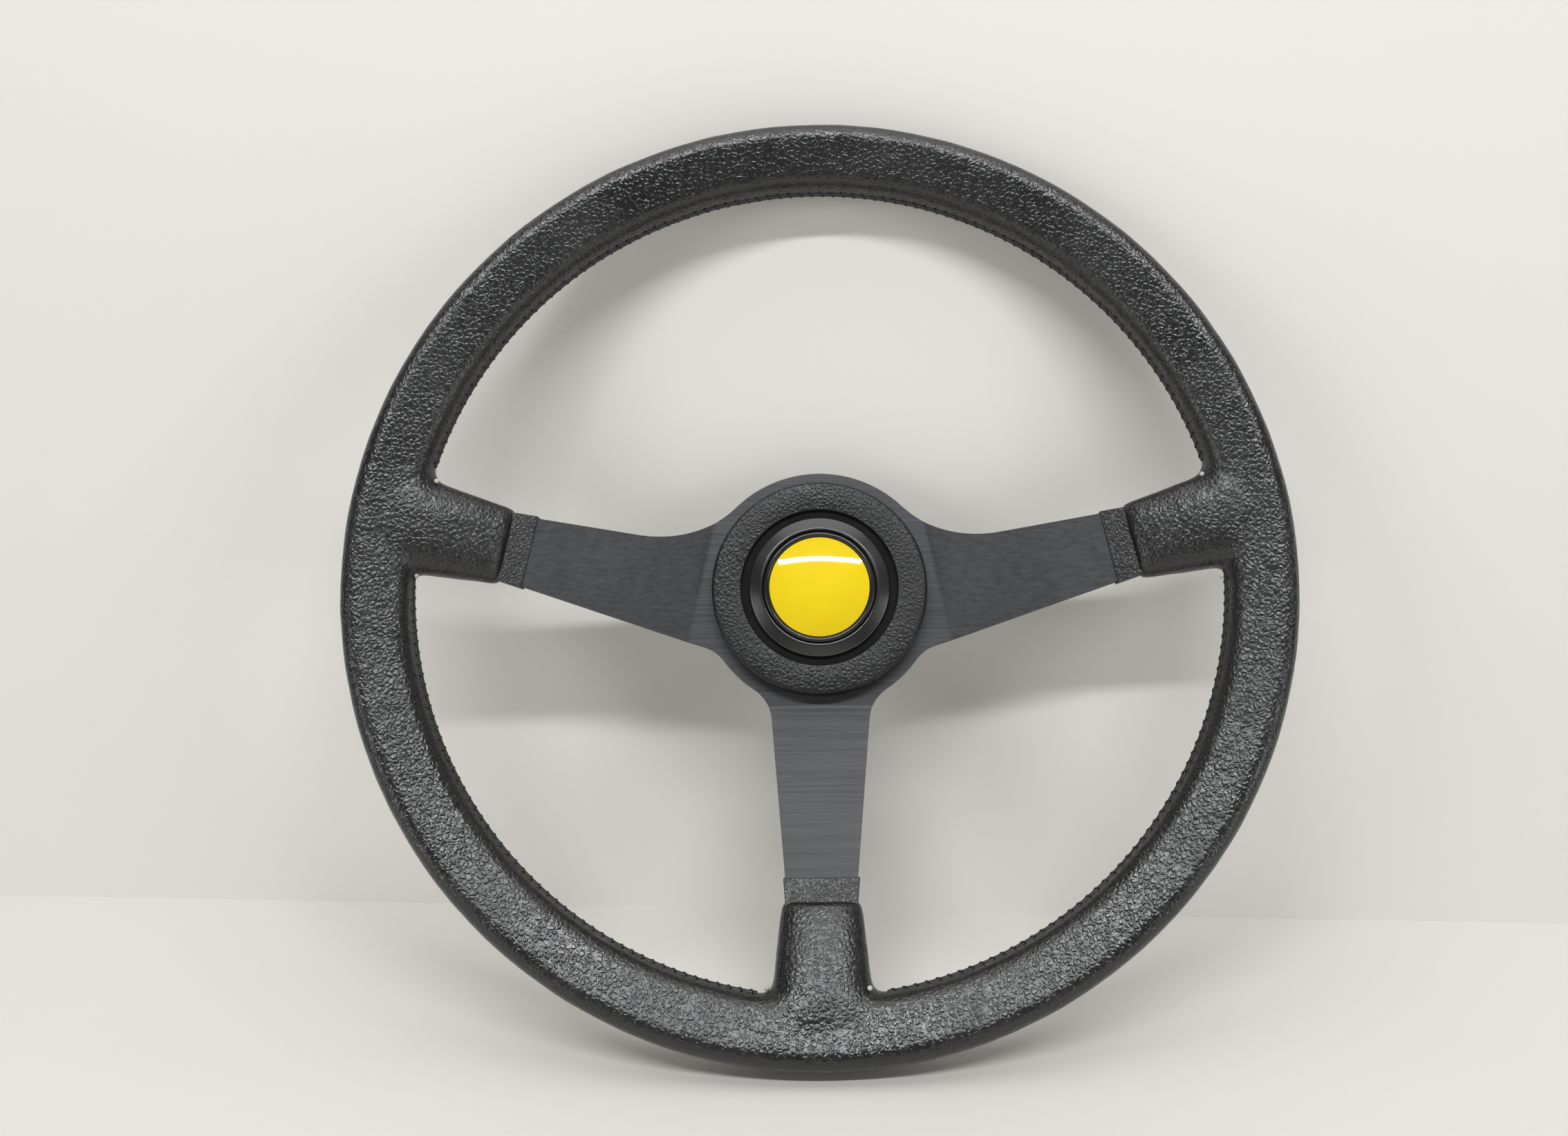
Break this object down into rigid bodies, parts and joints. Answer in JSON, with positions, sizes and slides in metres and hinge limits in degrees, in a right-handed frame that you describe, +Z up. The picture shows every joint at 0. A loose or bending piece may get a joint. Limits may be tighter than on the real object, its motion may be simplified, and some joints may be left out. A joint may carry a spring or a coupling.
{
  "type": "car steering wheel",
  "caption": "Dished car steering wheel with a leather-covered rim, bent black metal spokes, a grained bolt cover ring and a spring-loaded horn button under a clear dome.",
  "frame": {"origin": "centre of the flat rear face of the hub, on the wheel's axis", "axes": "+Y points out of the hub's rear face, away from the driver, along the bolts; +Z points up with the wheel straight ahead; +X points to the driver's right"},
  "size_m": [0.38, 0.0657, 0.38],
  "materials": {
    "anodised_plate": "black anodised, fine brushed lines",
    "steel_ring": "zinc plated",
    "foam": "moulded integral-skin foam",
    "rim_leather": "black, fine pebbled grain, semi-gloss",
    "tab_leather": "black, thin and flat",
    "thread": "waxed black thread",
    "grained_cover": "charcoal, coarse leather grain",
    "black_plastic": "black, semi-gloss",
    "bezel": "satin dark grey",
    "spring_steel": "plain",
    "insulator": "brown resin-bonded board",
    "brass": "plain",
    "emblem_yellow": "bare yellow disc",
    "clear_dome": "clear cast resin, glossy"
  },
  "bodies": {
    "wheel": {"spoke_plate": "anodised_plate", "rim_core": "steel_ring", "core_rivets": "steel_ring", "rim_foam": "foam", "rim_leather": "rim_leather", "leather_tab_right": "tab_leather", "leather_tab_left": "tab_leather", "leather_tab_bottom": "tab_leather", "seam_thread_top": "thread", "seam_thread_right": "thread", "seam_thread_left": "thread", "bolt_cover_ring": "grained_cover", "horn_housing": "black_plastic", "horn_bezel": "bezel", "retaining_ring": "spring_steel", "insulator_disc": "insulator", "contact_ring": "brass", "spring_base": "brass", "horn_spring": "spring_steel"},
    "horn_button": {"contact_cup": "brass", "horn_cap": "black_plastic", "emblem_disc": "emblem_yellow", "emblem_dome": "clear_dome"}
  },
  "joints": [
    {"name": "horn_press", "type": "slide", "parent": "wheel", "child": "horn_button", "axis": [0, 1, 0], "range_m": [0, 0.0022], "stiffness_N_per_m": 3000, "springref_m": -0.001, "deforming": ["horn_spring"]}
  ]
}
